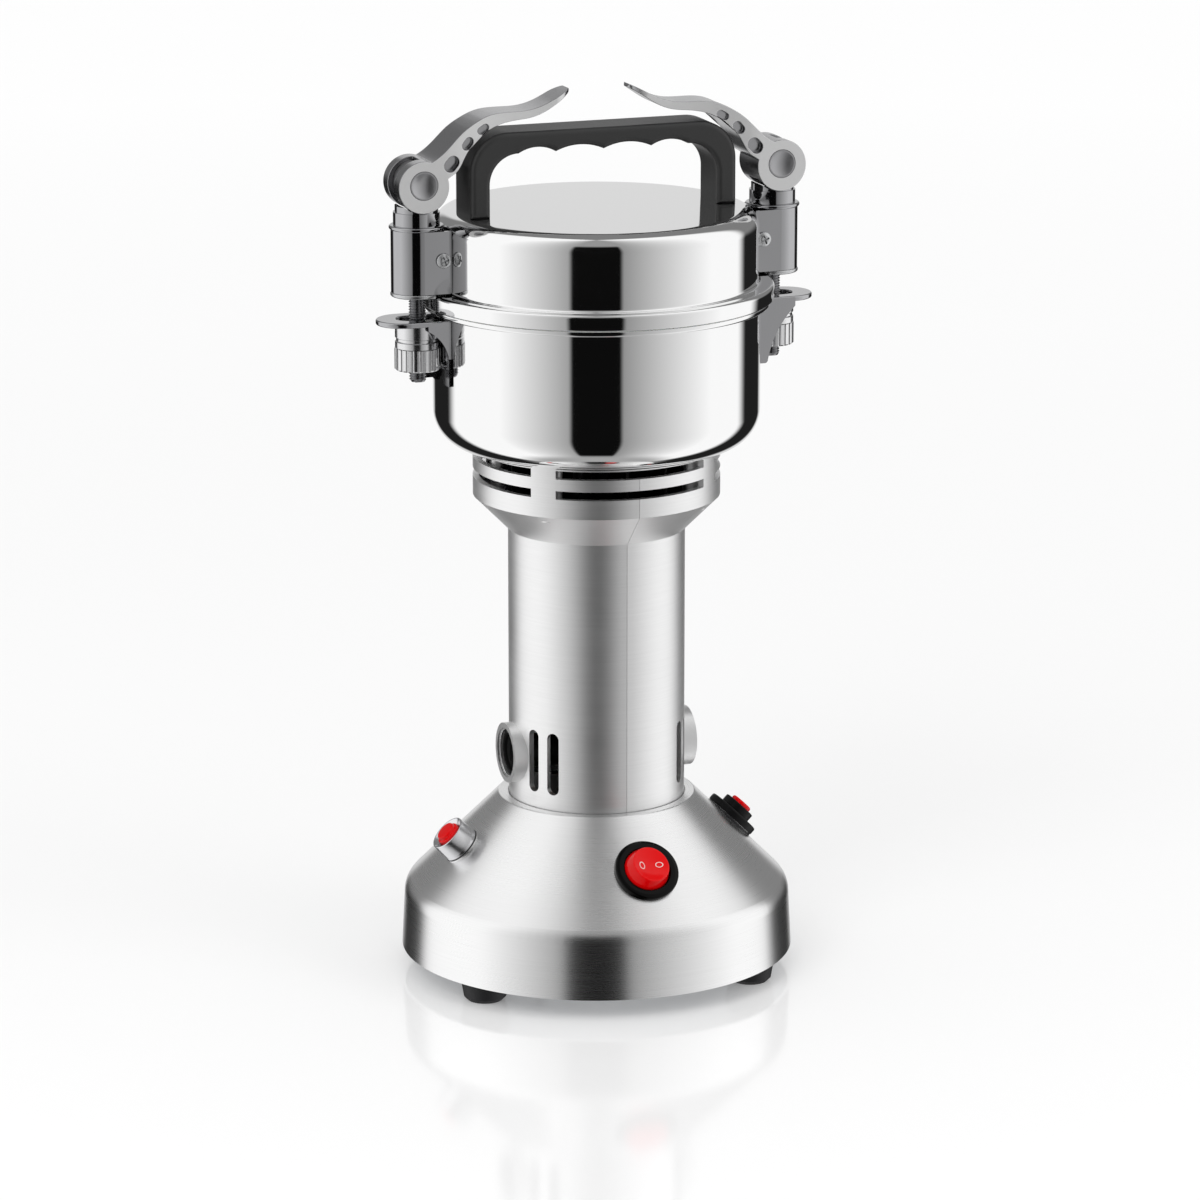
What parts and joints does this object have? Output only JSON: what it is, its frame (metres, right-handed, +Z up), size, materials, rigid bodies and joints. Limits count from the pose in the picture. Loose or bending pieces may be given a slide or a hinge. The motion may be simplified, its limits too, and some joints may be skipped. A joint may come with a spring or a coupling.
{
  "type": "electric grain mill",
  "caption": "Countertop electric grain mill: spun base with a rocker switch, cast motor column, polished grinding bowl and a lid held down by cam-lever clamps.",
  "frame": {"origin": "centre of the base on the surface the feet stand on", "axes": "+Z up along the motor shaft, -Y towards the user and the rocker switch, clamps on +X and -X"},
  "size_m": [0.214, 0.186, 0.422],
  "materials": {
    "spun_steel": "satin spun stainless steel",
    "polished_steel": "mirror-polished stainless steel",
    "plate_steel": "zinc-plated sheet",
    "cast_alloy": "satin die-cast aluminium",
    "cast_zinc": "satin die-cast zinc",
    "nickel": "bright nickel plate",
    "fastener_steel": "zinc-plated steel",
    "core_steel": "laminated electrical steel",
    "copper": "enamelled copper wire",
    "bearing_steel": "ground bearing steel",
    "blade_steel": "ground stainless steel",
    "black_rubber": "matte black rubber",
    "white_silicone": "translucent white silicone",
    "black_plastic": "satin black moulded plastic",
    "gloss_black": "gloss black plastic",
    "grip_plastic": "fine-textured dark grey plastic",
    "gloss_red": "gloss red plastic",
    "nylon": "natural nylon",
    "carbon": "pressed carbon graphite"
  },
  "bodies": {
    "stand": {"base_shell": "spun_steel", "base_plate": "plate_steel", "base_tabs": "plate_steel", "feet": "black_rubber", "foot_screws": "fastener_steel", "pillars": "fastener_steel", "pillar_screws": "fastener_steel", "motor_housing_left": "cast_alloy", "motor_housing_right": "cast_alloy", "stator_core": "core_steel", "field_coils": "copper", "lower_bearing_bracket": "cast_alloy", "upper_bearing_bracket": "cast_alloy", "lower_bearing": "bearing_steel", "upper_bearing": "bearing_steel", "through_bolts": "fastener_steel", "brush_holders": "black_plastic", "carbon_brushes": "carbon", "brush_springs": "fastener_steel", "brush_caps": "black_plastic", "bowl": "polished_steel", "bowl_screws": "fastener_steel", "shaft_seal": "white_silicone", "bowl_brackets": "polished_steel", "nut_cups": "nickel", "switch_body": "gloss_black", "reset_gasket": "black_rubber", "reset_collar": "nickel", "overload_body": "black_plastic", "cord_gland": "black_plastic", "panel_nuts": "black_plastic"},
    "rotor": {"motor_shaft": "blade_steel", "armature_core": "core_steel", "armature_windings": "copper", "commutator": "copper", "cooling_fan": "black_plastic", "lower_blade": "blade_steel", "upper_blade": "blade_steel", "blade_spacer": "blade_steel", "blade_nut": "blade_steel"},
    "lid": {"lid_shell": "polished_steel", "lid_seal": "white_silicone", "grip": "grip_plastic", "grip_screws": "fastener_steel", "lid_brackets": "polished_steel", "guide_blocks": "nylon", "bracket_screws": "fastener_steel", "low_washers": "polished_steel", "upper_rings": "polished_steel", "cam_washers": "nickel", "clamp_rods": "fastener_steel", "cam_barrels": "nickel"},
    "left_lever": {"lever_left": "cast_zinc"},
    "right_lever": {"lever_right": "cast_zinc"},
    "left_nut": {"knurled_nut_left": "nickel"},
    "right_nut": {"knurled_nut_right": "nickel"},
    "rocker": {"rocker": "gloss_red"},
    "reset_button": {"reset_button": "gloss_red"},
    "overload_button": {"overload_button": "gloss_red"}
  },
  "joints": [
    {"name": "rotor_spin", "type": "hinge", "parent": "stand", "child": "rotor", "pos_m": [0, 0, 0.15], "axis": [0, 0, 1], "continuous": true},
    {"name": "lid_lift", "type": "slide", "parent": "stand", "child": "lid", "axis": [0, 0, 1], "range_m": [0, 0.12]},
    {"name": "left_lever_turn", "type": "hinge", "parent": "lid", "child": "left_lever", "pos_m": [-0.0875, 0, 0.382], "axis": [0, -1, 0], "range_deg": [0, 150]},
    {"name": "right_lever_turn", "type": "hinge", "parent": "lid", "child": "right_lever", "pos_m": [0.0875, 0, 0.382], "axis": [0, 1, 0], "range_deg": [0, 150]},
    {"name": "left_nut_spin", "type": "hinge", "parent": "stand", "child": "left_nut", "pos_m": [-0.0875, 0, 0.3], "axis": [0, 0, 1], "continuous": true},
    {"name": "right_nut_spin", "type": "hinge", "parent": "stand", "child": "right_nut", "pos_m": [0.0875, 0, 0.3], "axis": [0, 0, 1], "continuous": true},
    {"name": "rocker_tilt", "type": "hinge", "parent": "stand", "child": "rocker", "pos_m": [0, -0.06897, 0.06457], "axis": [0, -0.7071, -0.7071], "range_deg": [0, 16]},
    {"name": "reset_press", "type": "slide", "parent": "stand", "child": "reset_button", "axis": [0.7071, 0, -0.7071], "range_m": [0, 0.0025], "stiffness_N_per_m": 400, "springref_m": -0.001},
    {"name": "overload_press", "type": "slide", "parent": "stand", "child": "overload_button", "axis": [-0.7071, 0, -0.7071], "range_m": [0, 0.0015], "stiffness_N_per_m": 400, "springref_m": -0.001}
  ]
}
